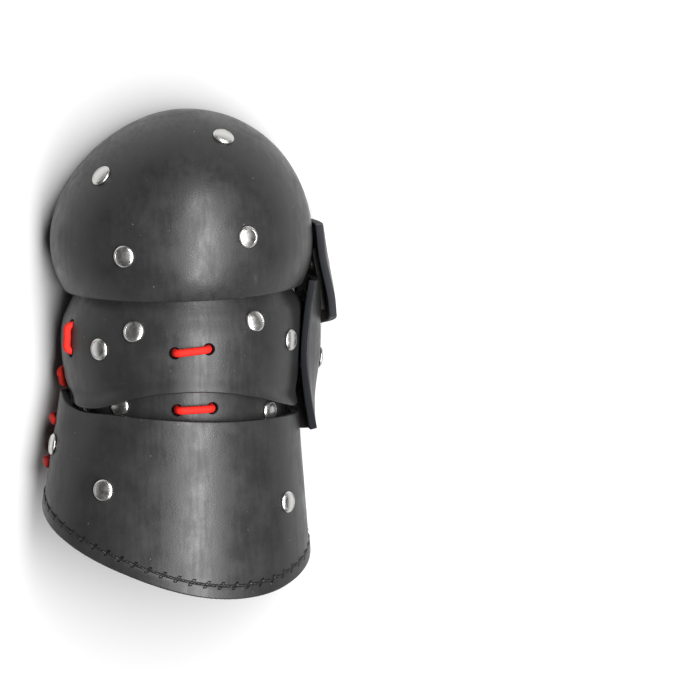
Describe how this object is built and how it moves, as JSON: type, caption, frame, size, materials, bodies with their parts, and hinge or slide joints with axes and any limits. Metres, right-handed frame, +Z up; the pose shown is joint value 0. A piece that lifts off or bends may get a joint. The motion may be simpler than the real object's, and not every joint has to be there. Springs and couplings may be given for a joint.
{
  "type": "fencing gauntlet",
  "caption": "Left-hand armoured gauntlet of overlapping black leather plates: round finger dome, barrel hand plate, wrist lame and flared laced cuff, joined by riveted straps and red elastic.",
  "frame": {"origin": "bottom centre of the bounding box", "axes": "+Z up, the back of the hand; +Y towards the fingers, -Y the forearm; +X towards the thumb"},
  "size_m": [0.1566, 0.2472, 0.0866],
  "materials": {
    "plate_leather": "satin",
    "strap_leather": "matte",
    "nickel": "polished",
    "elastic": "matte"
  },
  "bodies": {
    "root": {"cuff": "plate_leather", "elastic_back": "elastic", "elastic_cuff": "elastic", "elastic_side": "elastic", "finger_dome": "plate_leather", "hand_plate": "plate_leather", "rivet_cuff_pinky": "nickel", "rivet_cuff_side": "nickel", "rivet_cuff_thumb": "nickel", "rivet_dome_pinky_rim": "nickel", "rivet_dome_pinky_tip": "nickel", "rivet_dome_thumb_rim": "nickel", "rivet_dome_thumb_tip": "nickel", "rivet_hand_pinky": "nickel", "rivet_hand_side": "nickel", "rivet_hand_thumb": "nickel", "rivet_hand_thumb_side": "nickel", "rivet_lame_pinky": "nickel", "rivet_lame_side": "nickel", "rivet_lame_thumb": "nickel", "rivet_thumb_base": "nickel", "rivet_thumb_lap": "nickel", "rivet_thumb_tip": "nickel", "strap_pinky": "strap_leather", "strap_side": "strap_leather", "strap_thumb": "strap_leather", "strap_thumb_hinge": "strap_leather", "strap_thumb_lames": "strap_leather", "thumb_base_lame": "plate_leather", "thumb_tip_lame": "plate_leather", "wrist_lame": "plate_leather"}
  },
  "joints": []
}
